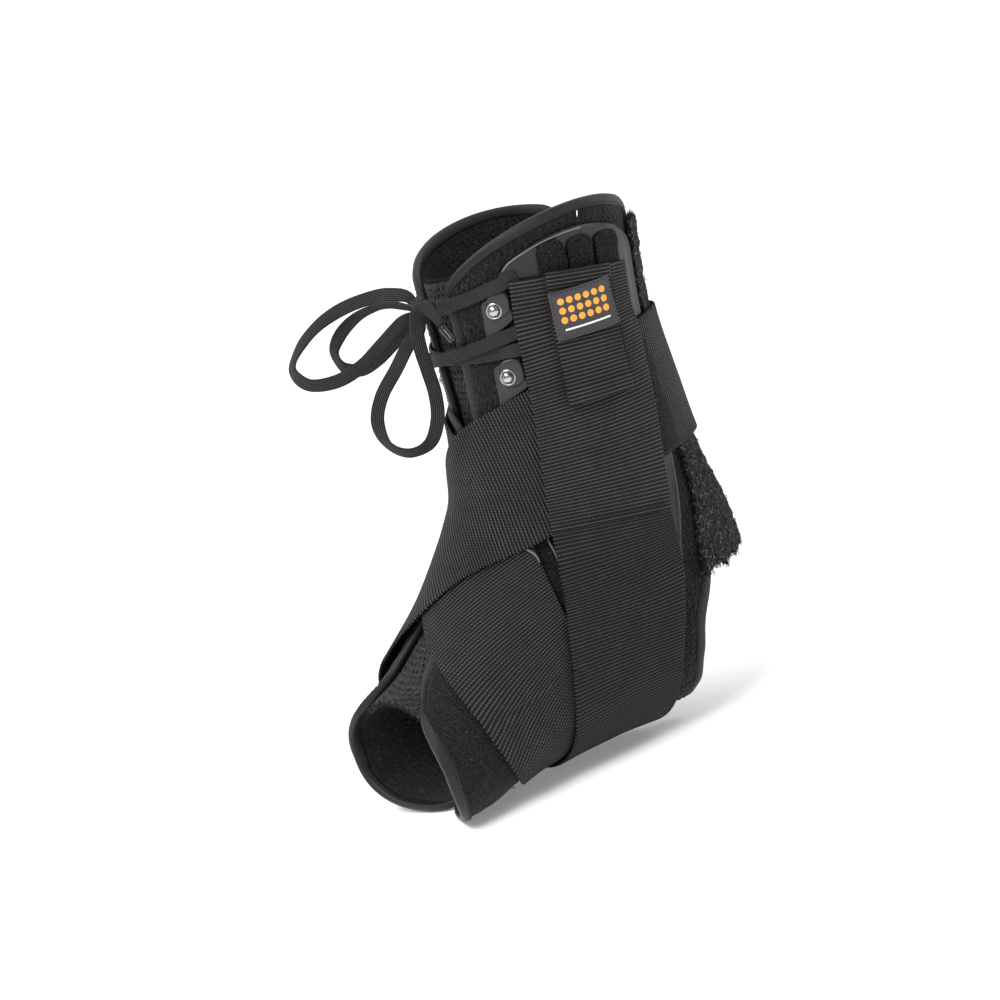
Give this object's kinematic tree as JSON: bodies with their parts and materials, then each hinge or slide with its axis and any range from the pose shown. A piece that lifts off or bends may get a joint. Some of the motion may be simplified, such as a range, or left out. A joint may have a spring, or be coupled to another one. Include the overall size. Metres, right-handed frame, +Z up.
{
  "type": "laced ankle brace",
  "caption": "Laced fabric ankle boot with stiff side stays, crossing instep straps and side straps, open at the heel and toes; holds the ankle steady.",
  "frame": {"origin": "on the plane under the sole straps, below the middle of the leg", "axes": "+Z up along the leg, -Y towards the toes, +X towards the outer side of the left ankle"},
  "size_m": [0.103, 0.1801, 0.2256],
  "materials": {
    "pile": "fluffy loop pile",
    "binding": "woven binding tape",
    "mesh": "padded spacer mesh",
    "elastic": "knitted elastic",
    "webbing": "ribbed webbing",
    "hooks": "hook tape",
    "plastic": "satin",
    "tab": "coated fabric",
    "lace": "woven lace",
    "rivet": "polished",
    "rubber": "matte, moulded"
  },
  "bodies": {
    "root": {"outer_panel": "pile", "inner_panel": "pile", "outer_loop_patch": "pile", "inner_loop_patch": "pile", "outer_edge_binding": "binding", "inner_edge_binding": "binding", "tongue": "mesh", "achilles_elastic": "elastic", "outer_cross_strap": "webbing", "inner_cross_strap": "webbing", "outer_lift_elastic": "webbing", "inner_lift_elastic": "webbing", "outer_lift_strap": "webbing", "inner_lift_strap": "webbing", "outer_pull_tab": "webbing", "inner_pull_tab": "webbing", "outer_hook_strip_1": "hooks", "outer_hook_strip_2": "hooks", "outer_hook_strip_3": "hooks", "inner_hook_strip_1": "hooks", "inner_hook_strip_2": "hooks", "inner_hook_strip_3": "hooks", "outer_stay_plate": "plastic", "inner_stay_plate": "plastic", "aglet": "plastic", "outer_lace_tab_upper": "tab", "inner_lace_tab_upper": "tab", "outer_lace_tab_lower": "tab", "inner_lace_tab_lower": "tab", "outer_top_lace": "lace", "inner_top_lace": "lace", "middle_lace_under": "lace", "middle_lace_over": "lace", "lower_lace": "lace", "lace_knot": "lace", "bow_loop_large": "lace", "bow_loop_small": "lace", "bow_loop_hanging": "lace", "outer_rivet_upper": "rivet", "inner_rivet_upper": "rivet", "outer_rivet_lower": "rivet", "inner_rivet_lower": "rivet", "label": "rubber"}
  },
  "joints": []
}
